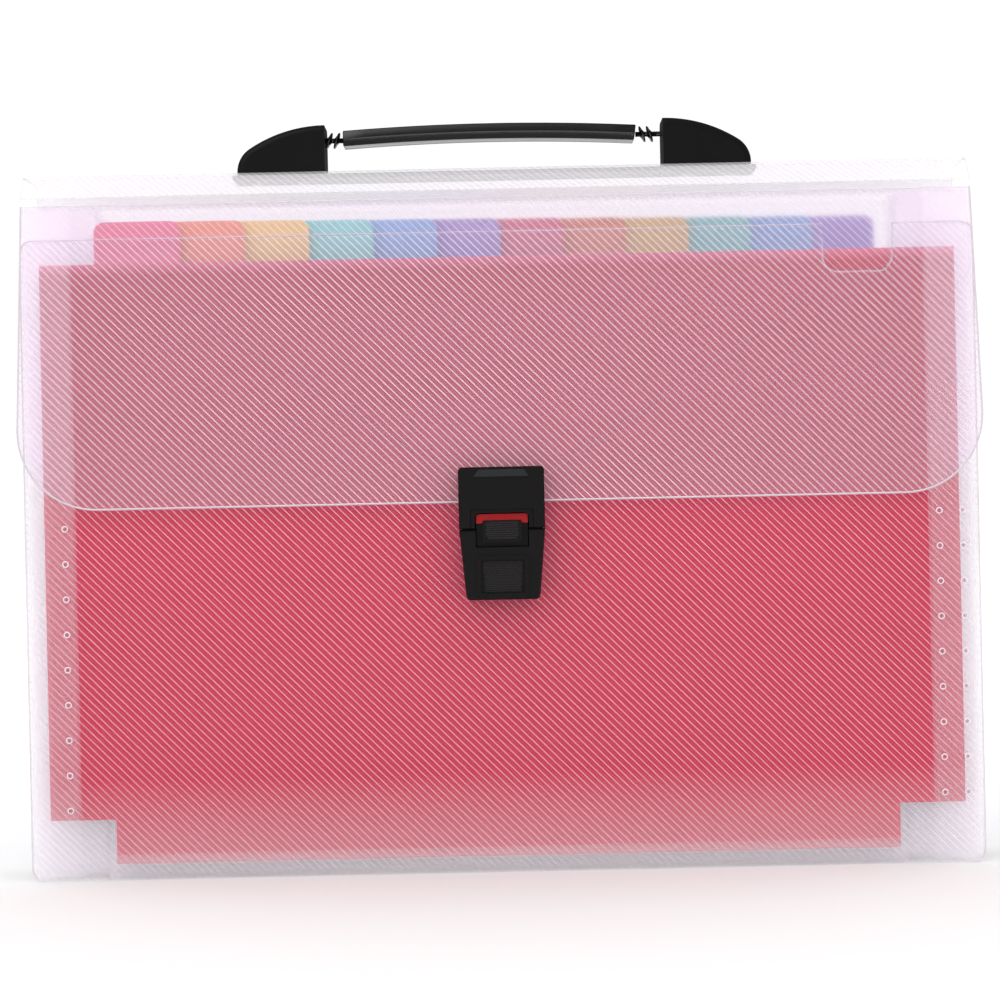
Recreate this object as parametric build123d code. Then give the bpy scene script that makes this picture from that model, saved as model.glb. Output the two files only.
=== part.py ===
"""An A4 accordion file: a folded clear cover, tabbed dividers in pleated strips, a strap handle, a latch.

Millimetres. X runs across the file, Y from front to back, Z up. The file stands closed on its two lower
edges, and the origin is on the floor under the middle of its bounding box.
"""
import os
from math import atan2, degrees, hypot

from build123d import *

# Cover sheet
sheet = 0.8
panel_width = 326.5
back_height = 232.3
front_drop = 12.8
panel_corner = 4.5
finger_notch_width = 23.7
finger_notch_inset = 27.75
finger_notch_depth = 16.4
finger_notch_corner = 5.0

# Top band and flap
band_inset = 1.05
crown_rise = 9.3
crown_margin = 2.0
shoulder_radius = 4.0
flap_length = 105.7
flap_flare = 2.8
flap_corner = 27.0
flap_straight = 1.0
crease_gap = 1.5
web = 0.3

# Pockets and dividers
pocket_count = 13
pocket_pitch = 2.65
divider = 0.5
divider_inset = 5.5
divider_bottom = 5.3
divider_drop = 8.5
notch_clearance = 3.5
notch_height = 15.2
tab_width = 29.5
tab_rise = 14.5
tab_corner = 3.8
tab_inset_left = 19.0
tab_inset_right = 23.0

# Pleated strips
pleat = 0.25
pleat_clearance = 0.05
crest_inset = 0.75
fold_reach = 24.5
first_fold_reach = 16.5
side_flange = 15.6
strip_drop = 1.3
strip_bottom = 1.0
crest_turn = 0.5
fold_turn = 0.3
front_turn = 0.45
floor_crest = 0.6
floor_fold = 20.5
floor_flange = 7.4
floor_first_fold = 8.6
floor_strip_clearance = 1.0

# Handle
handle_gap = 117.0
housing_length = 30.4
housing_height = 16.3
housing_depth = 18.0
housing_edge = 2.5
nose_radius = 9.5
housing_foot = 0.6
plate_overhang = 1.4
plate_thickness = 1.5
neck_length = 7.9
grip_shift = -1.6
grip_height = 5.2
grip_depth = 14.0
grip_top_depth = 12.4
grip_low_depth = 9.2
grip_ridge = 2.1
grip_arch = 1.6
grip_lift_to_top = 2.0
neck_radius = 0.9
ring_radius = 2.6
ring_thickness = 1.0
ring_first = 2.6
ring_pitch = 2.4
strap_head_radius = 2.2
strap_head_length = 2.0
strap_joint_gap = 0.2
channel_clearance = 0.5
mouth_wall = 4.0
chamber_length = 10.0
strap_reach = 8.0
screw_radius = 1.0
screw_head_radius = 2.2
screw_head_height = 0.9
screw_reach = 6.0
screw_spread = 16.0
screw_clearance = 0.1
screw_inset = 8.0

# Latch and hasp
latch_width = 29.2
latch_foot_width = 24.9
latch_depth = 7.8
latch_height = 24.2
hasp_drop = 8.9
split_clearance = 0.3
latch_corner = 1.6
latch_edge = 0.6
back_plate = 0.9
back_plate_inset = 1.0
pocket_wall = 1.0
slider_thickness = 2.9
slider_clearance = 0.25
bolt_width = 17.6
bolt_reach = 4.9
bolt_tail = 5.7
bolt_corner = 1.0
button_width = 13.4
button_reach = 2.8
button_height = 7.5
button_travel = 1.5
travel_clearance = 0.2
button_proud = 0.5
button_corner = 0.8
spring_floor = 5.0
spring_leaf = 0.5
spring_width = 2.4
spring_swing = 3.0
spring_folds = 4
panel_frame_width = 17.8
panel_frame_gap = 2.8
panel_frame_margin = 0.7
panel_frame_rise = 0.4
panel_frame_wall = 1.5
panel_frame_corner = 2.0
panel_recess = 0.5
hasp_height = 20.9
hasp_depth = 6.0
hasp_corner = 1.4
hasp_back_clearance = 0.5
bolt_side_clearance = 1.95
bolt_top_clearance = 1.6
hasp_plate_lap = 1.0
rivet_radius = 1.2
rivet_head_radius = 2.2
rivet_head_height = 0.5
rivet_reach = 4.0
latch_rivet_wall = 2.7
latch_rivet_rise = 11.5
hasp_rivet_spread = 22.0
hasp_rivet_rise = 4.4

# Widths that follow from the panel's
band_width = panel_width - 2 * band_inset
flap_width = band_width + 2 * flap_flare
crest_half = panel_width / 2 - crest_inset
fold_half = crest_half - fold_reach
divider_half = crest_half - divider_inset
notch_width = divider_half - fold_half + notch_clearance
tab_first_left = tab_inset_left - divider_half
tab_last_right = divider_half - tab_inset_right
finger_notch_right = panel_width / 2 - finger_notch_inset
finger_notch_left = finger_notch_right - finger_notch_width
grip_length = handle_gap - 2 * neck_length
crown_flat = housing_depth + 2 * crown_margin
hasp_notch_width = bolt_width + 2 * bolt_side_clearance
latch_rivet_spread = bolt_width + 2 * latch_rivet_wall

# Heights that follow from the panels' and the flap's
front_height = back_height - front_drop
divider_top = front_height - divider_drop
strip_top = back_height - strip_drop
flap_bottom = back_height - flap_length
split_height = flap_bottom - hasp_drop
latch_bottom = split_height - latch_height
bolt_top = split_height + bolt_reach
button_top = split_height + button_reach
button_bottom = button_top - button_height
bolt_bottom = button_bottom - bolt_tail
recess_bottom = button_bottom - button_travel - travel_clearance
spring_bottom = latch_bottom + spring_floor
panel_frame_bottom = latch_bottom + panel_frame_margin
panel_frame_top = recess_bottom - panel_frame_gap
latch_rivet_height = latch_bottom + latch_rivet_rise
hasp_top = split_height + hasp_height
hasp_notch_top = bolt_top + bolt_top_clearance
hasp_plate_bottom = flap_bottom + hasp_plate_lap
hasp_rivet_height = hasp_plate_bottom + hasp_rivet_rise

# Depths and the handle's heights
closed_depth = pocket_count * pocket_pitch
flap_gap = back_plate + hasp_back_clearance
hasp_reach = sheet + flap_gap + hasp_depth
latch_reach = latch_depth + button_proud
front_reach = max(hasp_reach, latch_reach)
total_depth = sheet + closed_depth + front_reach
back_y = total_depth / 2 - sheet / 2
front_y = back_y - closed_depth
front_face_y = front_y - sheet / 2
flap_y = front_face_y - flap_gap - sheet / 2
band_middle_y = (flap_y + back_y) / 2
crown_z = back_height + crown_rise
crown_top = crown_z + sheet / 2
housing_base = crown_top
housing_top = housing_base + housing_height
grip_z = housing_top - grip_lift_to_top - grip_height / 2
divider_count = pocket_count - 1


def outline(points):
    """A face through the points, in the order given."""
    return make_face(Polyline(*points, close=True))


def upright(sketch, back, front):
    """The sketch (drawn in X and Z) as a solid between two depths."""
    plane = Plane(origin=(0, back, 0), x_dir=(1, 0, 0), z_dir=(0, -1, 0))
    return extrude(plane * sketch, amount=back - front)


def across(sketch, left, right):
    """The sketch (drawn in Y and Z) as a solid between two sides."""
    plane = Plane(origin=(left, 0, 0), x_dir=(0, 1, 0), z_dir=(1, 0, 0))
    return extrude(plane * sketch, amount=right - left)


def standing(sketch, bottom, top):
    """The sketch (drawn in X and Y) as a solid between two heights."""
    return extrude(Plane.XY.offset(bottom) * sketch, amount=top - bottom)


def box_face(left, right, bottom, top):
    """A rectangle by its four sides."""
    return Pos((left + right) / 2, (bottom + top) / 2) * Rectangle(right - left, top - bottom)


def rounded_face(left, right, bottom, top, radius):
    """A rectangle by its four sides, with round corners."""
    middle = Pos((left + right) / 2, (bottom + top) / 2)
    return middle * RectangleRounded(right - left, top - bottom, radius)


def rod(start, end, radius):
    """A round rod from one point to another."""
    line = Line(start, end)
    plane = Plane(origin=start, z_dir=line % 0)
    return extrude(plane * Circle(radius), amount=line.length)


def strip_face(points, thickness):
    """A strip of even thickness along a path of straight legs, with mitred turns."""
    left_side = []
    right_side = []
    for index, (across_now, along_now) in enumerate(points):
        before = points[max(index - 1, 0)]
        after = points[min(index + 1, len(points) - 1)]
        normals = []
        for a, b in ((before, points[index]), (points[index], after)):
            length = hypot(b[0] - a[0], b[1] - a[1])
            if length > 0:
                normals.append(((a[1] - b[1]) / length, (b[0] - a[0]) / length))
        first, last = normals[0], normals[-1]
        spread = 1 + first[0] * last[0] + first[1] * last[1]
        shift_x = (first[0] + last[0]) / spread * thickness / 2
        shift_y = (first[1] + last[1]) / spread * thickness / 2
        left_side.append((across_now + shift_x, along_now + shift_y))
        right_side.append((across_now - shift_x, along_now - shift_y))
    return outline(left_side + right_side[::-1])


def pleat_path(crest, fold, first_fold, flange_end):
    """The zigzag of a pleated strip, as pairs of reach and depth, from front panel to back panel."""
    front_flange = front_y + sheet / 2 + pleat_clearance + pleat / 2
    back_flange = back_y - sheet / 2 - pleat_clearance - pleat / 2
    path = [(flange_end, front_flange), (crest, front_flange), (crest, front_flange + front_turn)]
    for pocket in range(pocket_count):
        middle = front_y + (pocket + 0.5) * pocket_pitch
        reach = fold if pocket else first_fold
        path += [(reach, middle - fold_turn), (reach, middle + fold_turn)]
        if pocket < divider_count:
            behind = front_y + (pocket + 1) * pocket_pitch
            path += [(crest, behind - crest_turn), (crest, behind + crest_turn)]
    path += [(crest, back_flange - front_turn), (crest, back_flange), (flange_end, back_flange)]
    return path


def arch_path():
    """The points that the band's centre line turns at, with its two ends held back from the creases."""
    shoulder_front = (band_middle_y - crown_flat / 2, crown_z)
    shoulder_back = (band_middle_y + crown_flat / 2, crown_z)
    run = shoulder_front[0] - flap_y
    slope = hypot(run, crown_rise)
    held_y = crease_gap * run / slope
    held_z = crease_gap * crown_rise / slope
    front_end = (flap_y + held_y, back_height + held_z)
    back_end = (back_y - held_y, back_height + held_z)
    return front_end, shoulder_front, shoulder_back, back_end


def screw_places():
    """The four places, in X, where a screw joins a housing to the inner plate."""
    inner = handle_gap / 2 + screw_inset
    return [side * (inner + step) for side in (-1, 1) for step in (0, screw_spread)]


# Cover


def make_back_panel():
    face = box_face(-panel_width / 2, panel_width / 2, 0, back_height - crease_gap)
    face = fillet(face.vertices().group_by(Axis.Y)[0], panel_corner)
    return upright(face, back_y + sheet / 2, back_y - sheet / 2)


def make_front_panel():
    face = box_face(-panel_width / 2, panel_width / 2, 0, front_height)
    face = fillet(face.vertices(), panel_corner)
    notch_bottom = front_height - finger_notch_depth
    notch_top = front_height + finger_notch_depth
    face -= rounded_face(
        finger_notch_left, finger_notch_right, notch_bottom, notch_top, finger_notch_corner
    )
    panel = upright(face, front_y + sheet / 2, front_y - sheet / 2)
    return panel - latch_rivet_holes()


def latch_rivet_holes():
    holes = []
    for x in (-latch_rivet_spread / 2, latch_rivet_spread / 2):
        start = (x, front_y + sheet, latch_rivet_height)
        end = (x, front_face_y - sheet, latch_rivet_height)
        holes.append(rod(start, end, rivet_radius + pleat_clearance))
    return holes


def make_top_band():
    centre_line = FilletPolyline(*arch_path(), radius=shoulder_radius)
    band = across(trace(centre_line, line_width=sheet), -band_width / 2, band_width / 2)
    for x in screw_places():
        start = (x, band_middle_y, crown_z - sheet)
        end = (x, band_middle_y, crown_z + sheet)
        band -= rod(start, end, screw_radius + screw_clearance)
    return band


def make_flap():
    top = back_height - crease_gap
    wide = flap_bottom + flap_corner + flap_straight
    half_top = band_width / 2
    half_low = flap_width / 2
    points = [
        (-half_top, top),
        (half_top, top),
        (half_low, wide),
        (half_low, flap_bottom),
        (-half_low, flap_bottom),
        (-half_low, wide),
    ]
    face = outline(points)
    face = fillet(face.vertices().group_by(Axis.Y)[0], flap_corner)
    flap = upright(face, flap_y + sheet / 2, flap_y - sheet / 2)
    for x in (-hasp_rivet_spread / 2, hasp_rivet_spread / 2):
        start = (x, flap_y + sheet, hasp_rivet_height)
        end = (x, flap_y - sheet, hasp_rivet_height)
        flap -= rod(start, end, rivet_radius + pleat_clearance)
    return flap


def make_crease(sheet_y, band_end):
    """The thin scored web between an upright sheet and the band."""
    points = [(sheet_y, back_height - crease_gap), (sheet_y, back_height), band_end]
    turn = crease_gap / 3
    line = FilletPolyline(*points, radius=turn)
    return across(trace(line, line_width=web), -band_width / 2, band_width / 2)


# Dividers and pleats


def make_divider(number):
    depth = front_y + number * pocket_pitch
    face = box_face(-divider_half, divider_half, divider_bottom, divider_top)
    for side in (-1, 1):
        centre = side * (divider_half - notch_width / 2)
        face -= Pos(centre, divider_bottom + notch_height / 2) * Rectangle(notch_width, notch_height)
    tab_step = (tab_last_right - tab_width - tab_first_left) / (divider_count - 1)
    left = tab_first_left + (number - 1) * tab_step
    tab_foot = divider_top - tab_rise / 2
    face += rounded_face(left, left + tab_width, tab_foot, divider_top + tab_rise, tab_corner)
    return upright(face, depth + divider / 2, depth - divider / 2)


def make_side_gusset(side):
    first_fold = side * (crest_half - first_fold_reach)
    flange_end = side * (crest_half - side_flange)
    path = pleat_path(side * crest_half, side * fold_half, first_fold, flange_end)
    return standing(strip_face(path, pleat), strip_bottom, strip_top)


def make_bottom_gusset():
    """The same pleats turned to the floor: their reach is a height here."""
    path = pleat_path(floor_crest, floor_fold, floor_first_fold, floor_crest + floor_flange)
    turned = [(depth, reach) for reach, depth in path]
    half = fold_half - floor_strip_clearance
    return across(strip_face(turned, pleat), -half, half)


# Handle


def make_handle_plate():
    half = handle_gap / 2 + housing_length + plate_overhang
    low = crown_z - sheet / 2 - plate_thickness
    face = Pos(0, band_middle_y) * Rectangle(2 * half, housing_depth)
    plate = standing(face, low, low + plate_thickness)
    for x in screw_places():
        start = (x, band_middle_y, low - 1)
        end = (x, band_middle_y, crown_z)
        plate -= rod(start, end, screw_radius + screw_clearance)
    return plate


def make_housing(side):
    """A quarter ellipse seen from the front, tall towards the strap, hollow for the strap's end."""
    inner = handle_gap / 2
    outer = inner + housing_length
    foot_top = housing_base + housing_foot
    rise = housing_height - housing_foot
    reach = housing_length - nose_radius
    back_radius = (reach**2 + rise**2 - nose_radius**2) / (2 * (rise - nose_radius))
    nose_turn = degrees(atan2(back_radius - rise, reach))
    base = Line((inner, housing_base), (outer, housing_base))
    foot = Line(base @ 1, (outer, foot_top))
    nose = JernArc(foot @ 1, (0, 1), nose_radius, nose_turn)
    top = JernArc(nose @ 1, nose % 1, back_radius, 90 - nose_turn)
    inner_wall = Line(top @ 1, base @ 0)
    face = make_face([base, foot, nose, top, inner_wall])
    body = upright(face, band_middle_y + housing_depth / 2, band_middle_y - housing_depth / 2)
    body = fillet(body.edges().filter_by(GeomType.CIRCLE), housing_edge)
    mouth = (inner - 1, band_middle_y, grip_z)
    throat = (inner + mouth_wall, band_middle_y, grip_z)
    end = (inner + mouth_wall + chamber_length, band_middle_y, grip_z)
    body -= rod(mouth, throat, neck_radius + channel_clearance)
    body -= rod(throat, end, strap_head_radius + channel_clearance)
    for x in screw_places():
        if x > 0:
            start = (x, band_middle_y, housing_base - 1)
            top_end = (x, band_middle_y, housing_base + screw_reach + screw_clearance)
            body -= rod(start, top_end, screw_radius)
    if side < 0:
        body = mirror(body, about=Plane.YZ)
    return body


def make_neck(side):
    """One flexible end of the strap: a thin neck with two rings and a stop inside the housing."""
    grip_end = side * (grip_length / 2 + strap_joint_gap) + grip_shift
    stop = side * (handle_gap / 2 + strap_reach)
    neck = rod((grip_end, band_middle_y, grip_z), (stop, band_middle_y, grip_z), neck_radius)
    for ring in range(2):
        middle = grip_end + side * (ring_first + ring * ring_pitch)
        start = (middle - side * ring_thickness / 2, band_middle_y, grip_z)
        end = (middle + side * ring_thickness / 2, band_middle_y, grip_z)
        neck += rod(start, end, ring_radius)
    head_end = (stop + side * strap_head_length, band_middle_y, grip_z)
    return neck + rod((stop, band_middle_y, grip_z), head_end, strap_head_radius)


def make_grip():
    """The strap's stiff middle, slightly arched, with a sloping lower edge on both sides."""
    low = grip_z - grip_height / 2
    ridge = low + grip_ridge
    high = grip_z + grip_height / 2
    half_list = ((grip_low_depth, low), (grip_depth, ridge), (grip_top_depth, high))
    right_half = [(band_middle_y + depth / 2, z) for depth, z in half_list]
    left_half = [(band_middle_y - depth / 2, z) for depth, z in half_list[::-1]]
    section = outline(right_half + left_half)
    left = grip_shift - grip_length / 2
    right = grip_shift + grip_length / 2
    path = ThreePointArc(
        (left, band_middle_y, grip_z),
        (grip_shift, band_middle_y, grip_z + grip_arch),
        (right, band_middle_y, grip_z),
    )
    plane = Plane(origin=(left, 0, 0), x_dir=(0, 1, 0), z_dir=(1, 0, 0))
    return sweep(plane * section, path=path)


def make_screws():
    """Four screws from under the inner plate, through the band, into the housings."""
    plate_low = crown_z - sheet / 2 - plate_thickness
    screws = []
    for x in screw_places():
        foot = (x, band_middle_y, plate_low - screw_head_height)
        seat = (x, band_middle_y, plate_low)
        tip = (x, band_middle_y, housing_base + screw_reach)
        screws.append(rod(foot, seat, screw_head_radius) + rod(seat, tip, screw_radius))
    return Compound(children=screws)


# Latch


def latch_plan():
    """The latch's outline from the front: straight sides that draw in towards the foot."""
    top = split_height - split_clearance
    points = [
        (-latch_foot_width / 2, latch_bottom),
        (latch_foot_width / 2, latch_bottom),
        (latch_width / 2, top),
        (-latch_width / 2, top),
    ]
    face = outline(points)
    return fillet(face.vertices().group_by(Axis.Y)[0], latch_corner)


def make_latch_body():
    front = front_face_y - latch_depth
    body = upright(latch_plan(), front_face_y, front)
    body = chamfer(body.faces().sort_by(Axis.Y)[0].edges(), latch_edge)
    pocket_back = front_face_y - pocket_wall
    pocket_front = pocket_back - slider_thickness - 2 * slider_clearance
    half = bolt_width / 2 + slider_clearance
    above = split_height + latch_depth
    body -= upright(box_face(-half, half, spring_bottom, above), pocket_back, pocket_front)
    body -= upright(box_face(-half, half, recess_bottom, above), pocket_front, front - 1)
    frame = rounded_face(
        -panel_frame_width / 2,
        panel_frame_width / 2,
        panel_frame_bottom,
        panel_frame_top,
        panel_frame_corner,
    )
    inner = offset(frame, -panel_frame_wall)
    body += upright(frame, front + latch_edge, front - panel_frame_rise)
    body -= upright(inner, front + panel_recess, front - 1)
    for x in (-latch_rivet_spread / 2, latch_rivet_spread / 2):
        start = (x, front_face_y + 1, latch_rivet_height)
        end = (x, front_face_y - rivet_reach - pleat_clearance, latch_rivet_height)
        body -= rod(start, end, rivet_radius)
    return body


def make_latch_back_plate():
    face = offset(latch_plan(), -back_plate_inset)
    back = front_y + sheet / 2 + back_plate
    plate = upright(face, back, front_y + sheet / 2)
    for x in (-latch_rivet_spread / 2, latch_rivet_spread / 2):
        start = (x, back + 1, latch_rivet_height)
        end = (x, front_y, latch_rivet_height)
        plate -= rod(start, end, rivet_radius)
    return plate


def make_latch_rivets():
    rivets = []
    back = front_y + sheet / 2 + back_plate
    for x in (-latch_rivet_spread / 2, latch_rivet_spread / 2):
        head = (x, back + rivet_head_height, latch_rivet_height)
        seat = (x, back, latch_rivet_height)
        tip = (x, front_face_y - rivet_reach, latch_rivet_height)
        rivets.append(rod(head, seat, rivet_head_radius) + rod(seat, tip, rivet_radius))
    return Compound(children=rivets)


def slider_back():
    return front_face_y - pocket_wall - slider_clearance


def make_bolt():
    face = box_face(-bolt_width / 2, bolt_width / 2, bolt_bottom, bolt_top)
    face = fillet(face.vertices().group_by(Axis.Y)[-1], bolt_corner)
    return upright(face, slider_back(), slider_back() - slider_thickness)


def make_button():
    back = slider_back() - slider_thickness
    front = front_face_y - latch_depth - button_proud
    face = box_face(-button_width / 2, button_width / 2, button_bottom, button_top)
    face = fillet(face.vertices(), button_corner)
    return upright(face, back, front)


def make_spring():
    """A flat leaf folded to and fro between the pocket's floor and the bolt."""
    room = bolt_bottom - spring_bottom
    step = (room - spring_leaf) / spring_folds
    low = spring_bottom + spring_leaf / 2
    path = []
    for fold in range(spring_folds + 1):
        height = low + fold * step
        near, far = -spring_swing, spring_swing
        if fold % 2:
            near, far = far, near
        path += [(near, height), (far, height)]
    middle = slider_back() - slider_thickness / 2
    return upright(strip_face(path, spring_leaf), middle + spring_width / 2, middle - spring_width / 2)


# Hasp


def make_hasp():
    face = box_face(-latch_width / 2, latch_width / 2, split_height, hasp_top)
    face = fillet(face.vertices().group_by(Axis.Y)[-1], hasp_corner)
    back = flap_y - sheet / 2
    front = back - hasp_depth
    hasp = upright(face, back, front)
    hasp = chamfer(hasp.faces().sort_by(Axis.Y)[0].edges(), latch_edge)
    half = hasp_notch_width / 2
    hasp -= upright(box_face(-half, half, split_height - 1, hasp_notch_top), back + 1, front - 1)
    for x in (-hasp_rivet_spread / 2, hasp_rivet_spread / 2):
        start = (x, back + 1, hasp_rivet_height)
        end = (x, back - rivet_reach - pleat_clearance, hasp_rivet_height)
        hasp -= rod(start, end, rivet_radius)
    return hasp


def make_hasp_back_plate():
    half = latch_width / 2 - back_plate_inset
    face = box_face(-half, half, hasp_plate_bottom, hasp_top - back_plate_inset)
    front = flap_y + sheet / 2
    plate = upright(face, front + back_plate, front)
    for x in (-hasp_rivet_spread / 2, hasp_rivet_spread / 2):
        start = (x, front + back_plate + 1, hasp_rivet_height)
        end = (x, front - 1, hasp_rivet_height)
        plate -= rod(start, end, rivet_radius)
    return plate


def make_hasp_rivets():
    rivets = []
    for x in (-hasp_rivet_spread / 2, hasp_rivet_spread / 2):
        start = (x, flap_y + sheet / 2 + back_plate, hasp_rivet_height)
        end = (x, flap_y - sheet / 2 - rivet_reach, hasp_rivet_height)
        rivets.append(rod(start, end, rivet_radius))
    return Compound(children=rivets)


def make_parts():
    band_ends = arch_path()
    parts = {
        "back_panel": make_back_panel(),
        "front_panel": make_front_panel(),
        "top_band": make_top_band(),
        "flap": make_flap(),
        "back_crease": make_crease(back_y, band_ends[-1]),
        "front_crease": make_crease(flap_y, band_ends[0]),
        "left_gusset": make_side_gusset(-1),
        "right_gusset": make_side_gusset(1),
        "bottom_gusset": make_bottom_gusset(),
        "handle_base_plate": make_handle_plate(),
        "handle_housing_left": make_housing(-1),
        "handle_housing_right": make_housing(1),
        "handle_grip": make_grip(),
        "handle_neck_left": make_neck(-1),
        "handle_neck_right": make_neck(1),
        "handle_screws": make_screws(),
        "latch_body": make_latch_body(),
        "latch_back_plate": make_latch_back_plate(),
        "latch_rivets": make_latch_rivets(),
        "latch_button": make_button(),
        "latch_bolt": make_bolt(),
        "latch_spring": make_spring(),
        "hasp_plate": make_hasp(),
        "hasp_back_plate": make_hasp_back_plate(),
        "hasp_rivets": make_hasp_rivets(),
    }
    for number in range(1, divider_count + 1):
        parts[f"divider_{number:02d}"] = make_divider(number)
    return parts


os.makedirs("parts", exist_ok=True)
for name, shape in make_parts().items():
    export_step(shape, f"parts/{name}.step")
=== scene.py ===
"""Looks of the accordion file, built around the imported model.

Ribbed clear cover, tinted dividers, milky pleats, black handle and latch. Metres, in the model's own frame:
X across, Y from front to back, Z up.
"""
import math

import bmesh
import bpy
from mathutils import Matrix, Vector


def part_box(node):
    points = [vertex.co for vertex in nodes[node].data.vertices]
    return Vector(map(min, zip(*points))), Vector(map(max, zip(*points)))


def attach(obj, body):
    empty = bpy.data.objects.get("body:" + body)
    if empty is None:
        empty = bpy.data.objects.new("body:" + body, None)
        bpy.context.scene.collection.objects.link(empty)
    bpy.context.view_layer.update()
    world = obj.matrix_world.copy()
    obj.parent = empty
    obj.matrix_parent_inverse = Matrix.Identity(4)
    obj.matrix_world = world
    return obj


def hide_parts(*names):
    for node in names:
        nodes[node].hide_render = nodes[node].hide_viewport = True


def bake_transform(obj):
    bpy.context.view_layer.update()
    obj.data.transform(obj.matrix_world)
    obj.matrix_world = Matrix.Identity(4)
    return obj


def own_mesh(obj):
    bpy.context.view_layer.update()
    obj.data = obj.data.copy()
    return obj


MM = 0.001
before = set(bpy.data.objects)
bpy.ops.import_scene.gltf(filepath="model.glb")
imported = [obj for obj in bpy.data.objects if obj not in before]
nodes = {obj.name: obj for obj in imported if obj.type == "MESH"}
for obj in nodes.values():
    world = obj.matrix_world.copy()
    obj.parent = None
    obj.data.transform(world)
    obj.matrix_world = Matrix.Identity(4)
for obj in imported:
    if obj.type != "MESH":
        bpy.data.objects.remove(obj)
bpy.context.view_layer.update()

POCKETS = 13

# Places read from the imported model
panel_low, panel_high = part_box("front_panel")
back_low, back_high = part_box("back_panel")
flap_low, flap_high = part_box("flap")
strip_low, strip_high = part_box("left_gusset")
floor_low, floor_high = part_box("bottom_gusset")
body_low, body_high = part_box("latch_body")
hasp_low, hasp_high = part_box("hasp_plate")
button_low, button_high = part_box("latch_button")
divider_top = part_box("divider_01")[1].z
front_plane = (panel_low.y + panel_high.y) / 2
back_plane = (back_low.y + back_high.y) / 2
flap_plane = (flap_low.y + flap_high.y) / 2
pitch = (back_plane - front_plane) / POCKETS
sheet = panel_high.y - panel_low.y


# Node helpers


class Graph:
    """Short names for adding and linking the nodes of one tree."""

    def __init__(self, tree):
        self.tree = tree
        tree.nodes.clear()

    def add(self, kind, inputs=None, **settings):
        node = self.tree.nodes.new(kind)
        for key, value in settings.items():
            setattr(node, key, value)
        for key, value in (inputs or {}).items():
            if isinstance(value, bpy.types.NodeSocket):
                self.tree.links.new(value, node.inputs[key])
            else:
                node.inputs[key].default_value = value
        return node

    def maths(self, operation, a, b=0.0, clamp=False):
        node = self.add("ShaderNodeMath", {0: a, 1: b}, operation=operation, use_clamp=clamp)
        return node.outputs[0]

    def vector(self, operation, a, b=None):
        inputs = {0: a} if b is None else {0: a, 1: b}
        return self.add("ShaderNodeVectorMath", inputs, operation=operation)

    def ramp(self, value, start, end, low=0.0, high=1.0):
        """low up to start, high from end on, and straight between."""
        return self.add("ShaderNodeMapRange", {0: value, 1: start, 2: end, 3: low, 4: high}).outputs[0]

    def mix(self, factor, a, b):
        return self.add("ShaderNodeMixShader", {0: factor, 1: a, 2: b}).outputs[0]

    def blend_colours(self, share, a, b):
        node = self.add("ShaderNodeMix", {"Factor": share, 6: a, 7: b}, data_type="RGBA")
        return node.outputs[2]

    def place(self):
        return self.add("ShaderNodeTexCoord").outputs["Object"]

    def height(self, place):
        return self.add("ShaderNodeSeparateXYZ", {0: place}).outputs["Z"]

    def noise(self, scale, detail=2.0, place=None):
        inputs = {"Scale": scale, "Detail": detail}
        if place is not None:
            inputs["Vector"] = place
        return self.add("ShaderNodeTexNoise", inputs).outputs[0]

    def bump(self, strength, distance, height):
        inputs = {"Strength": strength, "Distance": distance, "Height": height}
        return self.add("ShaderNodeBump", inputs).outputs[0]

    def plastic(self, colour, roughness, normal, **more):
        inputs = {"Base Color": colour, "Roughness": roughness, "Normal": normal}
        inputs.update({key.replace("_", " "): value for key, value in more.items()})
        return self.add("ShaderNodeBsdfPrincipled", inputs).outputs[0]

    def surface(self, kind, colour):
        return self.add("ShaderNodeBsdf" + kind, {"Color": colour}).outputs[0]


class Shader(Graph):
    """The node tree of one new material."""

    def __init__(self, name):
        self.material = bpy.data.materials.new(name)
        self.material.use_nodes = True
        super().__init__(self.material.node_tree)

    def finish(self, surface):
        self.add("ShaderNodeOutputMaterial", {"Surface": surface})
        return self.material


# Colours of the clear and milky sheets
WHITE = (1, 1, 1, 1)
SHEET_WHITE = (0.965, 0.95, 0.97, 1)
# Colour of the painted highlight on the clear sheets' cut edges
EDGE_GLOW_GREY = (0.70, 0.67, 0.73, 1)
FLAP_TINT = (0.925, 0.865, 0.93, 1)
FLAP_SHADOW = (0.95, 0.94, 0.95, 1)
PALE = (0.970, 0.963, 0.974, 1)
PALE_BAND = (0.945, 0.932, 0.952, 1)
MILK_WHITE = (0.96, 0.94, 0.96, 1)
MILK_CLEAR = (0.998, 0.995, 0.998, 1)

# Ribs: their distance, how far from the middle between two of them a rib starts and is full, and its relief
RIB_PITCH = 1.90 * MM
RIB_START = 0.37
RIB_FULL = 0.46
RIB_RELIEF = 0.08 * MM

# Sheets: how white the painted highlight on a cut edge is, how uneven the milk is, and the height of the
# panel's painted pale foot
EDGE_GLOW_MILK = 0.85
MILK_LEAST = 0.95
MILK_SPREAD = 0.1
SPECK_SCALE = 900.0
FOOT_TOP = 34 * MM

UPWARD = (0, 0, 1)
FRONTWARD = (0, -1, 0)
BACKWARD = (0, 1, 0)


def rib_mask(shader, run):
    """Thin slanting lines: 1 on a rib and 0 between. run is the sheet's own upward direction."""
    across = 1 / (RIB_PITCH * math.sqrt(2))
    direction = (across, run[1] * across, run[2] * across)
    along = shader.vector("DOT_PRODUCT", shader.place(), direction)
    wave = shader.maths("FRACT", along.outputs["Value"])
    tent = shader.maths("ABSOLUTE", shader.maths("SUBTRACT", wave, 0.5))
    return shader.ramp(tent, RIB_START, RIB_FULL)


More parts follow.
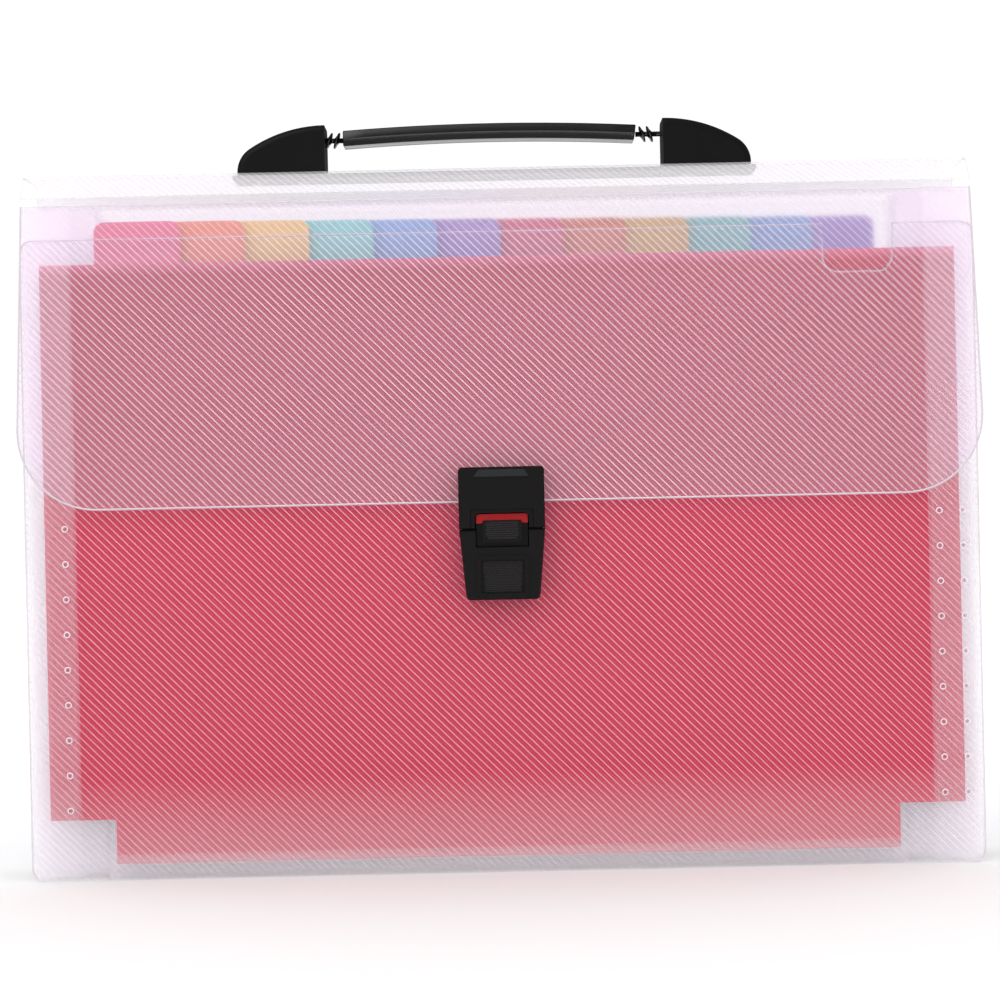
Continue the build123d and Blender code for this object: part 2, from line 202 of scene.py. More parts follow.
def sheet_milk(shader, clear_milk, rib_milk, white, run, outside, through):
    """How white a clear sheet is at each point, its ribs, and its colour, which is grey at the edges as a
    painted highlight for the light the cut edges catch.

    The ribs are on the outside face only. through keeps the directions in which the sheet is thin: a face
    square to them is no edge.
    """
    true_normal = shader.add("ShaderNodeNewGeometry").outputs["True Normal"]
    turned = shader.add(
        "ShaderNodeVectorTransform",
        {0: true_normal},
        vector_type="NORMAL",
        convert_from="WORLD",
        convert_to="OBJECT",
    )
    normal = turned.outputs[0]
    out = shader.vector("DOT_PRODUCT", normal, outside).outputs["Value"]
    ribs = shader.maths("MULTIPLY", rib_mask(shader, run), shader.ramp(out, 0.3, 0.6))
    flat = shader.vector("MULTIPLY", normal, through).outputs[0]
    facing = shader.vector("LENGTH", flat).outputs["Value"]
    # Painted highlight: faces across the sheet, its cut edges, turn whitish grey and milky, standing in for
    # the light caught in the edge.
    edge = shader.ramp(facing, 0.97, 0.75, 0.0, EDGE_GLOW_MILK)
    speck = shader.maths("MULTIPLY", shader.noise(SPECK_SCALE), MILK_SPREAD)
    milk = shader.ramp(ribs, 0.0, 1.0, clear_milk, rib_milk)
    milk = shader.maths("MULTIPLY", milk, shader.maths("ADD", MILK_LEAST, speck))
    colour = shader.blend_colours(edge, white, EDGE_GLOW_GREY)
    return shader.maths("MAXIMUM", milk, edge), ribs, colour


def clear_film(name, milk, tint, run=UPWARD, outside=FRONTWARD, through=BACKWARD, foot_painted_light=0.0):
    """A clear ribbed sheet that shows what is behind it sharply.

    milk gives how white it is between ribs and on them.
    """
    shader = Shader(name)
    cover, ribs, colour = sheet_milk(shader, *milk, SHEET_WHITE, run, outside, through)
    relief = shader.bump(0.25, RIB_RELIEF, ribs)
    white = shader.plastic(colour, 0.35, relief, Specular_IOR_Level=0.5)
    clear = shader.surface("Transparent", tint)
    # Painted shading: the sheet is made whiter towards its foot, standing in for the depth shading in the
    # bottom fold.
    if foot_painted_light:
        foot = shader.ramp(shader.height(shader.place()), FOOT_TOP, 0.0, 0.0, foot_painted_light)
        cover = shader.maths("ADD", cover, foot)
    return shader.finish(shader.mix(cover, clear, white))


def hazy_film(name, milk, haze):
    """A clear ribbed sheet that blurs what lies some way behind it."""
    shader = Shader(name)
    cover, ribs, colour = sheet_milk(shader, *milk, FLAP_TINT, UPWARD, FRONTWARD, BACKWARD)
    relief = shader.bump(0.15, RIB_RELIEF, ribs)
    clearness = shader.maths("SUBTRACT", 1.0, cover)
    film = shader.plastic(colour, haze, relief, IOR=1.3, Transmission_Weight=clearness)
    shadow = shader.add("ShaderNodeLightPath").outputs["Is Shadow Ray"]
    return shader.finish(shader.mix(shadow, film, shader.surface("Transparent", FLAP_SHADOW)))


def milky_film(name, cover):
    """A thin milky sheet that lets light through, a little cloudy."""
    shader = Shader(name)
    cloud = shader.noise(60.0, 3.0, shader.place())
    amount = shader.maths("ADD", cover * 0.85, shader.maths("MULTIPLY", cloud, cover * 0.3))
    diffuse = shader.surface("Diffuse", MILK_WHITE)
    lit_through = shader.surface("Translucent", MILK_WHITE)
    gloss = shader.add("ShaderNodeBsdfGlossy", {"Color": WHITE, "Roughness": 0.35}).outputs[0]
    body = shader.mix(0.06, shader.mix(0.5, diffuse, lit_through), gloss)
    return shader.finish(shader.mix(amount, shader.surface("Transparent", MILK_CLEAR), body))


TAB_RISE = 14.5 * MM
TAB_FOOT = divider_top - TAB_RISE
TAB_BACKLIGHT_FADE = (TAB_FOOT - 4 * MM, TAB_FOOT + MM)


def tinted_sheet(name, colour, backlit_tab_colour):
    """A tinted divider with a faint satin grain. Its tab is painted paler: painted light, for the light
    that comes through the tab.
    """
    shader = Shader(name)
    place = shader.place()
    relief = shader.bump(0.03, 0.03 * MM, shader.noise(700.0, 3.0, place))
    cloud = shader.maths("MULTIPLY", shader.noise(9.0, 2.0, place), 0.1)
    value = shader.maths("ADD", 0.95, cloud)
    # Painted light: above the tab's foot the colour turns paler, standing in for light that shines through
    # the tab.
    share = shader.ramp(shader.height(place), *TAB_BACKLIGHT_FADE)
    blend = shader.blend_colours(share, colour, backlit_tab_colour)
    shade = shader.add("ShaderNodeHueSaturation", {"Color": blend, "Value": value}).outputs[0]
    solid = shader.plastic(shade, 0.42, relief, Specular_IOR_Level=0.35)
    return shader.finish(shader.mix(0.12, solid, shader.surface("Translucent", shade)))


def moulded_plastic(name, colour, roughness=0.42, grain=0.2, shine=0.18):
    """Injection-moulded plastic with a fine spark texture and slightly uneven gloss."""
    shader = Shader(name)
    place = shader.place()
    fine = shader.noise(1400.0, 4.0, place)
    broad = shader.maths("MULTIPLY", shader.noise(45.0, 2.0, place), 0.12)
    rough = shader.maths("ADD", roughness - 0.06, broad)
    relief = shader.bump(grain, 0.06 * MM, fine)
    return shader.finish(shader.plastic(colour, rough, relief, Specular_IOR_Level=shine))


BLACK = (0.0045, 0.0036, 0.0040, 1)
BOLT_SHADE_FADE = 0.1 * MM


def bolt_plastic(name, colour, height):
    """Glossy plastic, coloured above a height and painted black below it: painted shade where the bolt runs
    inside the latch.
    """
    shader = Shader(name)
    place = shader.place()
    # Painted shade: below this height the bolt is black, where it runs in the dark inside the latch.
    out_of_latch_shade = shader.ramp(shader.height(place), height - BOLT_SHADE_FADE, height + BOLT_SHADE_FADE)
    blend = shader.blend_colours(out_of_latch_shade, BLACK, colour)
    relief = shader.bump(0.05, 0.05 * MM, shader.noise(1500.0, 2.0, place))
    return shader.finish(shader.plastic(blend, 0.3, relief, Specular_IOR_Level=0.25))


def weld_and_glow_mark(name, colour, cover):
    """Partly see-through plastic: weld dots, which were molten once, and the painted highlight beads on the
    sheets' cut edges.
    """
    shader = Shader(name)
    relief = shader.bump(0.2, 0.05 * MM, shader.noise(2500.0))
    solid = shader.plastic(colour, 0.35, relief)
    return shader.finish(shader.mix(cover, shader.surface("Transparent", WHITE), solid))


# Mesh helpers

SAME_PLACE = 0.005 * MM
EDGE_ANGLE = math.radians(35)


def mesh_object(name, vertices, faces, material, smooth=False):
    mesh = bpy.data.meshes.new(name)
    mesh.from_pydata([Vector(v) for v in vertices], [], faces)
    mesh.validate()
    mesh.materials.append(material)
    if smooth:
        mesh.shade_smooth()
    piece = bpy.data.objects.new(name, mesh)
    bpy.context.scene.collection.objects.link(piece)
    return piece


def dress(names, material):
    """Gives CAD nodes a material."""
    for name in names:
        data = nodes[name].data
        data.materials.clear()
        data.materials.append(material)


def soften(names, width, segments=3):
    """A small rounded edge on CAD nodes, whose faces are joined first."""
    for name in names:
        weld = nodes[name].modifiers.new("weld", "WELD")
        weld.merge_threshold = SAME_PLACE
        bevel = nodes[name].modifiers.new("edge", "BEVEL")
        bevel.width = width
        bevel.segments = segments
        bevel.limit_method = "ANGLE"
        bevel.angle_limit = EDGE_ANGLE
        bevel.harden_normals = False


# Materials

flap_film = hazy_film("flap_film", (0.045, 0.19), haze=0.22)
# The panel's foot is painted whiter: painted shading of the bottom fold.
panel_film = clear_film("panel_film", (0.012, 0.14), PALE, foot_painted_light=0.11)
band_film = clear_film(
    "band_film",
    (0.26, 0.46),
    PALE_BAND,
    run=(0, 0.7, 0.7),
    outside=UPWARD,
    through=(0, 1, 1),
)
back_film = clear_film("back_film", (0.05, 0.18), PALE, outside=BACKWARD)
crease_film = milky_film("crease_film", 0.12)
pleat_film = milky_film("pleat_film", 0.12)

# Each divider's colour and its tab's colour, which is painted paler for the light coming through the tab,
# in the order in which they repeat
DIVIDER_COLOURS = {
    "pink": ((0.61, 0.025, 0.082, 1), (0.94, 0.24, 0.38, 1)),
    "orange": ((0.83, 0.17, 0.10, 1), (0.98, 0.37, 0.26, 1)),
    "yellow": ((0.88, 0.50, 0.13, 1), (0.98, 0.72, 0.31, 1)),
    "teal": ((0.13, 0.56, 0.52, 1), (0.36, 0.84, 0.82, 1)),
    "blue": ((0.13, 0.27, 0.68, 1), (0.37, 0.60, 0.96, 1)),
    "purple": ((0.25, 0.12, 0.55, 1), (0.56, 0.42, 0.84, 1)),
}
divider_plastic = [tinted_sheet(name + "_sheet", *pair) for name, pair in DIVIDER_COLOURS.items()]

black = moulded_plastic("black_moulding", BLACK)
strap_black = moulded_plastic("strap_black", BLACK, roughness=0.20, grain=0.04, shine=0.9)
# The knurl's black is lighter than the moulding's: a painted highlight, so the lit faces of its pyramids
# show.
knurl_highlight_black = moulded_plastic("knurl_highlight_black", (0.030, 0.028, 0.030, 1), roughness=0.3, grain=0.0)
# The facet's black is lighter than the moulding's: a painted highlight for the light the sloping facet
# catches.
facet_highlight_black = moulded_plastic("facet_highlight_black", (0.022, 0.023, 0.025, 1), roughness=0.3, grain=0.1)
red = bolt_plastic("red_bolt", (0.74, 0.008, 0.014, 1), button_high.z - MM)
steel = moulded_plastic("screw_steel", (0.5, 0.5, 0.5, 1), roughness=0.35)
# Painted highlights: the bright beads on the sheets' cut edges.
bright_edge_glow = weld_and_glow_mark("bright_edge_glow", (0.66, 0.60, 0.65, 1), 0.75)
faint_edge_glow = weld_and_glow_mark("faint_edge_glow", (0.66, 0.61, 0.65, 1), 0.35)
ring_mark = weld_and_glow_mark("weld_ring", (0.90, 0.80, 0.86, 1), 0.6)
core_mark = weld_and_glow_mark("weld_core", (0.30, 0.12, 0.17, 1), 0.5)

dress(["flap"], flap_film)
dress(["front_panel"], panel_film)
dress(["back_panel"], back_film)
dress(["top_band"], band_film)
dress(["back_crease", "front_crease"], crease_film)
for index in range(POCKETS - 1):
    dress([f"divider_{index + 1:02d}"], divider_plastic[index % len(divider_plastic)])
dress(
    [
        "handle_base_plate",
        "handle_housing_left",
        "handle_housing_right",
        "latch_body",
        "latch_back_plate",
        "latch_rivets",
        "latch_button",
        "latch_spring",
        "hasp_plate",
        "hasp_back_plate",
        "hasp_rivets",
    ],
    black,
)
dress(["handle_grip", "handle_neck_left", "handle_neck_right"], strap_black)
dress(["latch_bolt"], red)
dress(["handle_screws"], steel)


# Pleats: one piece for each pocket, bent between the two sheets it joins

CREST_TURN = 0.5 * MM
FOLD_TURN = 0.3 * MM
FLANGE = 15.6 * MM
FIRST_FOLD = 16.5 * MM
FLOOR_FIRST_FOLD = 8.6 * MM
FLOOR_FLANGE = 7.4 * MM
FLANGE_GAP = 0.15 * MM
SIDE_STEPS = 12
FLOOR_STEPS = 4
side_crest = -strip_low.x
side_fold = -strip_high.x
floor_crest = floor_low.z
floor_fold = floor_high.z


def pocket_path(index, crest, fold, first_fold, flange_end):
    """Reach and depth of one pocket's pleat, from the crest round the sheet in front to the one behind."""
    fold = fold if index else first_fold
    ahead = front_plane + index * pitch
    behind = ahead + pitch
    middle = (ahead + behind) / 2
    path = []
    if index == 0:
        face = ahead + sheet / 2 + FLANGE_GAP
        path += [(flange_end, face), (crest, face)]
    else:
        path += [(crest, ahead)]
    path += [(crest, ahead + CREST_TURN), (fold, middle - FOLD_TURN)]
    path += [(fold, middle + FOLD_TURN), (crest, behind - CREST_TURN)]
    if index == POCKETS - 1:
        face = behind - sheet / 2 - FLANGE_GAP
        path[-1] = (crest, face - FOLD_TURN)
        path += [(crest, face), (flange_end, face)]
    else:
        path += [(crest, behind)]
    return path


def make_pleats():
    """Both side strips and the bottom strip, one piece for each pocket."""
    for index in range(POCKETS):
        vertices = []
        faces = []

        def ribbon(points, place, steps):
            first = len(vertices)
            for step in range(steps + 1):
                for reach, depth in points:
                    vertices.append(place(reach, depth, step / steps))
            wide = len(points)
            for step in range(steps):
                for k in range(wide - 1):
                    a = first + step * wide + k
                    faces.append((a, a + 1, a + wide + 1, a + wide))

        for side in (-1, 1):
            path = pocket_path(index, side_crest, side_fold, side_crest - FIRST_FOLD, side_crest - FLANGE)

            def upright(reach, depth, share, side=side):
                return (side * reach, depth, strip_low.z + share * (strip_high.z - strip_low.z))

            ribbon(path, upright, SIDE_STEPS)
        path = pocket_path(index, floor_crest, floor_fold, FLOOR_FIRST_FOLD, floor_crest + FLOOR_FLANGE)

        def level(reach, depth, share):
            return (floor_low.x + share * (floor_high.x - floor_low.x), depth, reach)

        ribbon(path, level, FLOOR_STEPS)
        piece = mesh_object(f"pleats_{index + 1:02d}", vertices, faces, pleat_film)
        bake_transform(piece)
        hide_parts("left_gusset", "right_gusset", "bottom_gusset")


make_pleats()


# Weld dots on the front panel's edges

DOT_PITCH = 12.05 * MM
DOT_TOP = 120.5 * MM
DOT_COUNT = 9
DOT_REACH = 149.6 * MM
OUTER_REACH = 157.6 * MM
RING_RADIUS = 0.95 * MM
RING_TUBE = 0.22 * MM
CORE_RADIUS = 0.6 * MM
DOT_COLUMNS = (-DOT_REACH, DOT_REACH, OUTER_REACH)
DOT_LIFT = 0.03 * MM
CORE_LIFT = 0.02 * MM
RING_FLATNESS = 0.35


def ring_mesh(vertices, faces, centre, radius, tube, around=20, section=6):
    """Adds a flattened ring that lies on a plane facing the front."""
    first = len(vertices)
    for i in range(around):
        turn = 2 * math.pi * i / around
        for j in range(section):
            lift = 2 * math.pi * j / section
            reach = radius + tube * math.cos(lift)
            x = centre[0] + reach * math.cos(turn)
            z = centre[2] + reach * math.sin(turn)
            vertices.append((x, centre[1] - tube * RING_FLATNESS * math.sin(lift), z))
    for i in range(around):
        for j in range(section):
            a = first + i * section + j
            b = first + i * section + (j + 1) % section
            c = first + ((i + 1) % around) * section + (j + 1) % section
            d = first + ((i + 1) % around) * section + j
            faces.append((a, b, c, d))


def disc_mesh(vertices, faces, centre, radius, around=16):
    """Adds a very low cone that faces the front."""
    first = len(vertices)
    vertices.append((centre[0], centre[1] - CORE_LIFT, centre[2]))
    for i in range(around):
        turn = 2 * math.pi * i / around
        x = centre[0] + radius * math.cos(turn)
        z = centre[2] + radius * math.sin(turn)
        vertices.append((x, centre[1], z))
    for i in range(around):
        faces.append((first, first + 1 + i, first + 1 + (i + 1) % around))


def make_weld_dots():
    ring_data = ([], [])
    core_data = ([], [])
    face = panel_low.y - DOT_LIFT
    for reach in DOT_COLUMNS:
        for row in range(DOT_COUNT):
            centre = (reach, face, DOT_TOP - row * DOT_PITCH)
            ring_mesh(*ring_data, centre, RING_RADIUS, RING_TUBE)
            disc_mesh(*core_data, centre, CORE_RADIUS)
    rings = mesh_object("weld_rings", *ring_data, ring_mark, smooth=True)
    cores = mesh_object("weld_cores", *core_data, core_mark)
    for piece in (rings, cores):
        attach(piece, "front")


make_weld_dots()


# Painted highlight on the clear sheets' cut edges: a fine bright bead along the outline

EDGE_WIDTH = 0.65 * MM
EDGE_HEIGHT = 0.12 * MM
ON_FACE = 0.01 * MM

# The bead's section, in widths inward from the outline and in heights, the front being negative
EDGE_PROFILE = ((0.1, 0.6), (0.15, -0.6), (0.38, -1.0), (0.75, -0.8), (1.0, 0.0), (0.9, 0.6))


def outline_chain(node, face, lowest, highest):
    """The points of a sheet's outline on its outside face, in order, between two heights."""
    mesh = bmesh.new()
    mesh.from_mesh(nodes[node].data)
    mesh.transform(nodes[node].matrix_world)
    bmesh.ops.remove_doubles(mesh, verts=mesh.verts, dist=SAME_PLACE)
    mesh.normal_update()
    follow = {}
    for edge in mesh.edges:
        places = [vertex.co for vertex in edge.verts]
        if any(abs(place.y - face) > ON_FACE for place in places) or len(edge.link_faces) != 2:
            continue
        if all(beside.normal.y < -0.9 for beside in edge.link_faces):
            continue
        if all(place.z > highest for place in places) or all(place.z < lowest for place in places):
            continue
        for here, there in (edge.verts, reversed(edge.verts)):
            follow.setdefault(here.index, []).append(there.index)
    points = {vertex.index: vertex.co.copy() for vertex in mesh.verts if vertex.index in follow}
    mesh.free()
    ends = [index for index, near in follow.items() if len(near) == 1]
    here = min(ends, key=lambda index: points[index].x)
    chain = [here]
    while True:
        onward = [index for index in follow[chain[-1]] if index not in chain[-2:]]
        if not onward or onward[0] == chain[0]:
            break
        chain.append(onward[0])
    return [points[index] for index in chain]


def edge_glow_bead(name, node, body, material, lowest, highest):
    """A bead painted as a highlight along a sheet's outline, between two heights."""
    low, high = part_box(node)
    chain = outline_chain(node, low.y, lowest, highest)
    middle = (low + high) / 2
    vertices = []
    for index, place in enumerate(chain):
        back = chain[max(index - 1, 0)]
        ahead = chain[min(index + 1, len(chain) - 1)]
        inward = Vector((0, 1, 0)).cross(ahead - back).normalized()
        if inward.dot(middle - place) < 0:
            inward = -inward
        for reach, lift in EDGE_PROFILE:
            forward = Vector((0, lift * EDGE_HEIGHT, 0))
            vertices.append(place + inward * reach * EDGE_WIDTH + forward)
    wide = len(EDGE_PROFILE)
    faces = []
    for row in range(len(chain) - 1):
        for k in range(wide):
            m = (k + 1) % wide
            first = row * wide
            faces.append((first + k, first + m, first + wide + m, first + wide + k))
    last = (len(chain) - 1) * wide
    faces.append(tuple(range(wide - 1, -1, -1)))
    faces.append(tuple(range(last, last + wide)))
    piece = mesh_object(name, vertices, faces, material)
    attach(piece, body)


edge_glow_bead("flap_edge_glow", "flap", "flap", bright_edge_glow, 0, flap_high.z - 2 * MM)
edge_glow_bead("panel_edge_glow", "front_panel", "front", faint_edge_glow, 1.5 * MM, 1)

FLAP_ROUNDING = 0.15 * MM
PANEL_ROUNDING = 0.25 * MM
LATCH_ROUNDING = 0.25 * MM
HANDLE_ROUNDING = 0.4 * MM

soften(["flap"], FLAP_ROUNDING, 1)
soften(["front_panel", "back_panel"], PANEL_ROUNDING, 1)
soften(["latch_body", "hasp_plate", "latch_button", "latch_bolt"], LATCH_ROUNDING)
soften(["handle_housing_left", "handle_housing_right", "handle_grip"], HANDLE_ROUNDING)


# Flexible pieces, which join two bodies

handle_low, handle_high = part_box("handle_grip")
neck_low, neck_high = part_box("handle_neck_right")
NECK_RADIUS = 0.9 * MM
RING_TOP = 2.85 * MM
RING_HALF = 0.55 * MM
RING_SLANT = 0.35
STOP_RADIUS = 2.2 * MM
STOP_LENGTH = 2.0 * MM
NECK_ROOT = 0.1 * MM
RING_PLACES = (2.4 * MM, 5.0 * MM)
RING_FOOT = 1.4
NECK_STEPS = 6
NECK_SIDES = 20

# A ring's outline: place along the neck in half widths of the ring, radius as a share of its top
RING_SHAPE = ((-1.0, 0.62), (-0.55, 0.93), (0.0, 1.0), (0.55, 0.93), (1.0, 0.62))


def make_neck(side):
    """A thin neck with two slanting rings, running into the housing to a round stop."""
    middle = (neck_low + neck_high) / 2
    grip_end = handle_high.x if side > 0 else -handle_low.x
    far = neck_high.x
    stop = far - STOP_LENGTH
    root = grip_end + NECK_ROOT
    profile = [(root, 0.0), (root, NECK_RADIUS)]
    for place in RING_PLACES:
        ring = grip_end + place
        profile.append((ring - RING_FOOT * RING_HALF, NECK_RADIUS))
        profile += [(ring + along * RING_HALF, share * RING_TOP) for along, share in RING_SHAPE]
        profile.append((ring + RING_FOOT * RING_HALF, NECK_RADIUS))
    for step in range(1, NECK_STEPS):
        share = step / NECK_STEPS
        profile.append((profile[-1][0] + share * (stop - profile[-1][0]), NECK_RADIUS))
    profile += [(stop, NECK_RADIUS), (stop, STOP_RADIUS), (far, STOP_RADIUS), (far, 0.0)]
    vertices = []
    faces = []
    for reach, radius in profile:
        slant = RING_SLANT if radius > NECK_RADIUS and reach < stop - MM else 0.0
        for k in range(NECK_SIDES):
            turn = 2 * math.pi * k / NECK_SIDES
            lift = radius * math.sin(turn)
            depth = middle.y + radius * math.cos(turn)
            vertices.append((side * (reach - slant * lift), depth, middle.z + lift))
    for row in range(len(profile) - 1):
        for k in range(NECK_SIDES):
            a = row * NECK_SIDES + k
            b = row * NECK_SIDES + (k + 1) % NECK_SIDES
            faces.append((a, b, b + NECK_SIDES, a + NECK_SIDES))
    name = "left" if side < 0 else "right"
    neck = mesh_object(f"strap_neck_{name}", vertices, faces, strap_black, smooth=True)
    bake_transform(neck)
    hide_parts(f"handle_neck_{name}")


def copy_of(node, name, material):
    """A free copy of a CAD node's mesh, in the model's frame."""
    mesh = nodes[node].data.copy()
    mesh.transform(nodes[node].matrix_world)
    mesh.materials.clear()
    mesh.materials.append(material)
    piece = bpy.data.objects.new(name, mesh)
    bpy.context.scene.collection.objects.link(piece)
    return piece


def make_crease(node, name):
    """The scored web beside a crease, a copy of the CAD node's mesh."""
    piece = copy_of(node, name, crease_film)
    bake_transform(piece)
    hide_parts(node)


def make_spring_leaf():
    """The leaf spring, with a mesh of its own, on the front body."""
    piece = copy_of("latch_spring", "spring_leaf", black)
    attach(piece, "front")
    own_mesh(piece)
    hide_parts("latch_spring")


make_neck(-1)
make_neck(1)
make_crease(
    "front_crease",
    "front_crease_web",
)
make_crease(
    "back_crease",
    "back_crease_web",
)
make_spring_leaf()


# Latch details: knurled button, textured panel, the hasp's sloping facet


KNURL_SINK = 0.02 * MM
PANEL_SINK = 0.9 * MM

# Sizes of one pyramid, and the margin at a row's ends, in pitches
PYRAMID_FOOT = 0.56
PYRAMID_TIP = 0.2
KNURL_MARGIN = 0.4


def knurl(name, body, face, halves, bottom, top, pitch, height):
    """Small pyramids on a plane that faces the front.

    They fill a trapezoid between two heights, with these half widths at its bottom and at its top.
    """
    low_half, high_half = halves
    plane = face + KNURL_SINK
    rows = max(1, round((top - bottom) / pitch))
    step = (top - bottom) / rows
    vertices = []
    faces = []
    for row in range(rows):
        z = bottom + (row + 0.5) * step
        share = (z - bottom) / (top - bottom)
        half = low_half + share * (high_half - low_half)
        shift = 0.5 if row % 2 else 0.0
        count = int(half / pitch + shift)
        for column in range(-count, count + 1):
            x = (column + shift) * pitch
            if abs(x) > half - KNURL_MARGIN * pitch:
                continue
            first = len(vertices)
            for reach, depth in ((PYRAMID_FOOT * pitch, plane), (PYRAMID_TIP * pitch, plane - height)):
                vertices += [
                    (x - reach, depth, z),
                    (x, depth, z - reach),
                    (x + reach, depth, z),
                    (x, depth, z + reach),
                ]
            for k in range(4):
                m = (k + 1) % 4
                faces.append((first + k, first + m, first + 4 + m, first + 4 + k))
            faces.append((first + 4, first + 5, first + 6, first + 7))
    piece = mesh_object(name, vertices, faces, knurl_highlight_black)
    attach(piece, body)


knurl(
    "button_knurl",
    "button",
    face=button_low.y,
    halves=(5.5 * MM, 5.9 * MM),
    bottom=button_low.z + 1.1 * MM,
    top=button_high.z - 0.5 * MM,
    pitch=0.75 * MM,
    height=0.22 * MM,
)
knurl(
    "panel_knurl",
    "front",
    face=body_low.y + PANEL_SINK,
    halves=(6.3 * MM, 7.0 * MM),
    bottom=body_low.z + 2.6 * MM,
    top=body_low.z + 13.1 * MM,
    pitch=0.62 * MM,
    height=0.2 * MM,
)


# The facet's corners in millimetres: place across, drop under the hasp's top edge, lift off the plate
FACET = ((-9.4, 3.3, 0.28), (9.4, 3.3, 0.28), (7.7, 0.9, 0.05), (-7.7, 0.9, 0.05))
FACET_ROOT = 0.1 * MM


def make_facet():
    """The flat slope under the hasp's top edge."""
    vertices = [(x * MM, hasp_low.y - lift * MM, hasp_high.z - drop * MM) for x, drop, lift in FACET]
    vertices += [(x * MM, hasp_low.y + FACET_ROOT, hasp_high.z - drop * MM) for x, drop, lift in FACET]
    faces = [(0, 1, 2, 3)]
    for k in range(4):
        m = (k + 1) % 4
        faces.append((k, k + 4, m + 4, m))
    piece = mesh_object("hasp_facet", vertices, faces, facet_highlight_black)
    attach(piece, "flap")


make_facet()


def slab(name, body, outline, front, back, edge):
    """A plate with this outline in X and Z between two depths, its edges slightly broken."""
    count = len(outline)
    vertices = [(x, front, z) for x, z in outline] + [(x, back, z) for x, z in outline]
    faces = [tuple(range(count)), tuple(range(2 * count - 1, count - 1, -1))]
    for k in range(count):
        m = (k + 1) % count
        faces.append((k, k + count, m + count, m))
    piece = mesh_object(name, vertices, faces, black)
    bevel = piece.modifiers.new("edge", "BEVEL")
    bevel.width = edge
    bevel.segments = 2
    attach(piece, body)


def rounded(points, radius, steps=5):
    """The outline with its corners rounded."""
    result = []
    count = len(points)
    for index, corner in enumerate(points):
        here = Vector(corner)
        start = here + (Vector(points[index - 1]) - here).normalized() * radius
        end = here + (Vector(points[(index + 1) % count]) - here).normalized() * radius
        for step in range(steps + 1):
            share = step / steps
            point = start * (1 - share) ** 2 + here * 2 * share * (1 - share) + end * share**2
            result.append((point.x, point.y))
    return result


TONGUE_INSET = 0.6 * MM
TONGUE_LAP = 1.0 * MM
TONGUE_DROP = 0.9 * MM
TONGUE_CORNER = 1.0 * MM
TONGUE_FRONT = 0.6 * MM
TONGUE_GAP = 0.02 * MM
TONGUE_ROUNDING = 0.1 * MM
LIP_HALF = 10.8 * MM
LIP_HEIGHT = 6.6 * MM
LIP_GAP = 0.35 * MM
LIP_TURN = 1.2 * MM
LIP_RAISE = 0.1 * MM
LIP_SINK = 0.5 * MM
LIP_BACK = 0.4 * MM
LIP_ROUNDING = 0.15 * MM


def make_tongue():
    """The black plate behind the hasp, which closes the view through its notch."""
    half = body_high.x - TONGUE_INSET
    bottom = body_high.z - TONGUE_LAP
    top = flap_low.z - TONGUE_DROP
    corners = [(-half, bottom), (half, bottom), (half, top), (-half, top)]
    back = panel_low.y - TONGUE_GAP
    front = panel_low.y - TONGUE_FRONT
    slab("latch_tongue", "front", rounded(corners, TONGUE_CORNER), front, back, TONGUE_ROUNDING)


def make_notch_lip():
    """The step inside the hasp's notch, which follows the bolt closely."""
    bolt_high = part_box("latch_bolt")[1]
    foot = hasp_low.z + LIP_RAISE
    outer_top = hasp_low.z + LIP_HEIGHT
    half = bolt_high.x + LIP_GAP
    top = bolt_high.z + LIP_GAP
    corners = [
        (-LIP_HALF, foot),
        (-half, foot),
        (-half, top - LIP_TURN),
        (-half + LIP_TURN, top),
        (half - LIP_TURN, top),
        (half, top - LIP_TURN),
        (half, foot),
        (LIP_HALF, foot),
        (LIP_HALF, outer_top),
        (-LIP_HALF, outer_top),
    ]
    front = hasp_low.y + LIP_SINK
    slab("hasp_notch_lip", "flap", corners, front, hasp_high.y - LIP_BACK, LIP_ROUNDING)


make_tongue()
make_notch_lip()


# Floor, light and camera

FLAP_DISTANCE = 0.850
SENSOR = 36.0
FLAP_PIXEL = 0.3413 * MM
IMAGE_PIXELS = 1000
HORIZON = 127.3 * MM
CENTRE_PIXEL = 501.5
ROLL = 1.25
LIGHT_LOW = 0.95
LIGHT_HIGH = 1.75
SEEN_WHITE = 1.03
MIRROR_DIM = 0.12
MIRROR_BOX = 1.6
KEY_DIRECTION = (-0.45, -0.55, 0.70)
BOX_EDGE = 0.86
BOX_MIDDLE = 0.97
FLOOR_HALF = 4.0
FLOOR_SHADES = (0.71, 0.73)


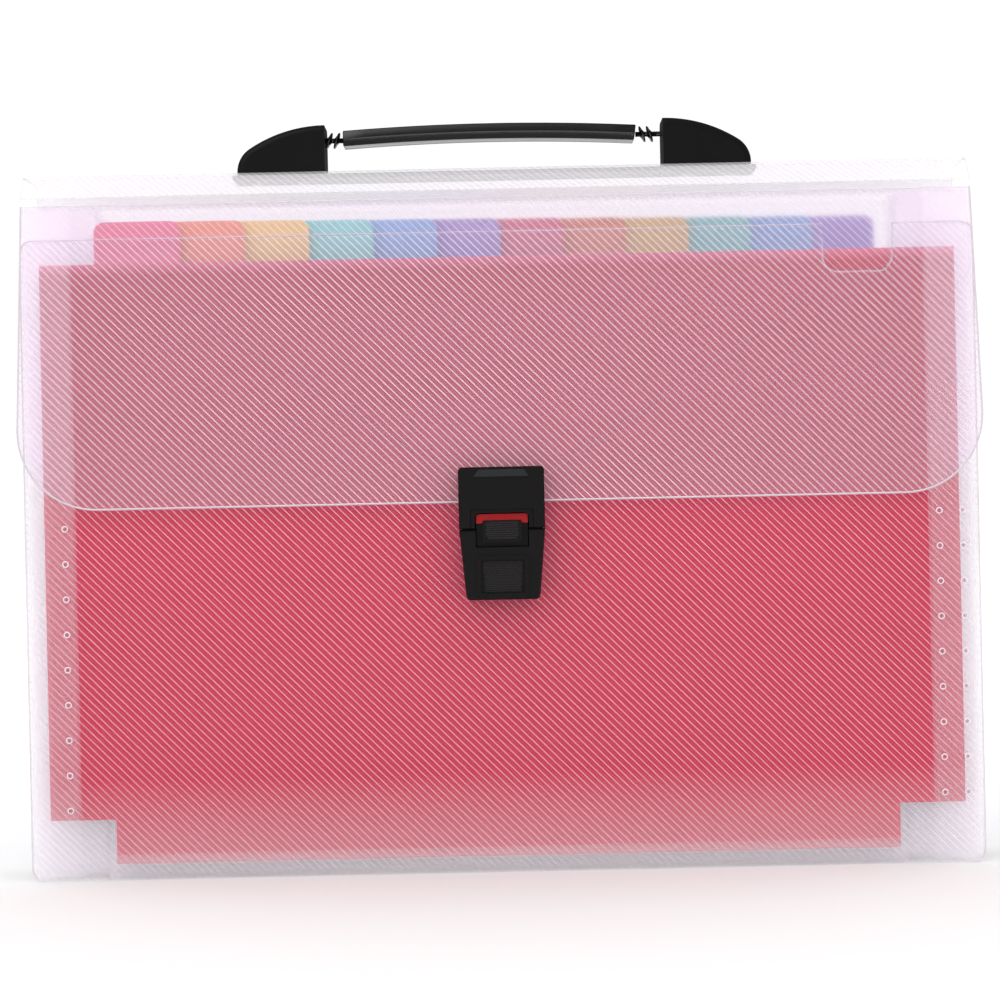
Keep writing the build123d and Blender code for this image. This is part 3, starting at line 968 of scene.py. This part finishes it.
def make_floor():
    corners = ((-1, -1), (1, -1), (1, 1), (-1, 1))
    vertices = [(x * FLOOR_HALF, y * FLOOR_HALF, 0) for x, y in corners]
    shader = Shader("pale_floor")
    level = shader.ramp(shader.noise(3.0), 0.0, 1.0, *FLOOR_SHADES)
    colour = shader.add("ShaderNodeCombineColor", {0: level, 1: level, 2: level}).outputs[0]
    material = shader.finish(shader.surface("Diffuse", colour))
    floor = mesh_object("floor", vertices, [(0, 1, 2, 3)], material)


def make_world():
    """A white room, brighter from the upper front left. Reflections see a dim one with a soft box."""
    world = bpy.data.worlds.new("studio")
    bpy.context.scene.world = world
    world.use_nodes = True
    graph = Graph(world.node_tree)

    def background(strength):
        return graph.add("ShaderNodeBackground", {"Color": WHITE, "Strength": strength}).outputs[0]

    path = graph.add("ShaderNodeLightPath").outputs
    direction = graph.add("ShaderNodeTexCoord").outputs["Generated"]
    side = graph.vector("DOT_PRODUCT", direction, KEY_DIRECTION).outputs["Value"]
    around = background(graph.ramp(side, -1.0, 1.0, LIGHT_LOW, LIGHT_HIGH))
    mirror = background(graph.ramp(side, BOX_EDGE, BOX_MIDDLE, MIRROR_DIM, MIRROR_BOX))
    straight = graph.maths("MAXIMUM", path["Is Camera Ray"], path["Is Transmission Ray"])
    mirrored = graph.maths("SUBTRACT", path["Is Glossy Ray"], path["Is Transmission Ray"], clamp=True)
    direct = graph.mix(straight, around, background(SEEN_WHITE))
    graph.add("ShaderNodeOutputWorld", {"Surface": graph.mix(mirrored, direct, mirror)})


def make_camera():
    data = bpy.data.cameras.new("camera")
    data.sensor_width = SENSOR
    data.lens = SENSOR * FLAP_DISTANCE / (IMAGE_PIXELS * FLAP_PIXEL)
    camera = bpy.data.objects.new("camera", data)
    shift = (IMAGE_PIXELS / 2 - CENTRE_PIXEL) * FLAP_PIXEL
    camera.location = (shift, flap_plane - FLAP_DISTANCE, HORIZON)
    camera.rotation_euler = (math.radians(90), math.radians(ROLL), 0)
    bpy.context.scene.collection.objects.link(camera)
    bpy.context.scene.camera = camera


make_floor()
make_world()
make_camera()
settings = bpy.context.scene.cycles
settings.transparent_max_bounces = 64
settings.max_bounces = 10
settings.transmission_bounces = 8
settings.diffuse_bounces = 3
settings.glossy_bounces = 3
bpy.context.scene.view_settings.view_transform = "Standard"
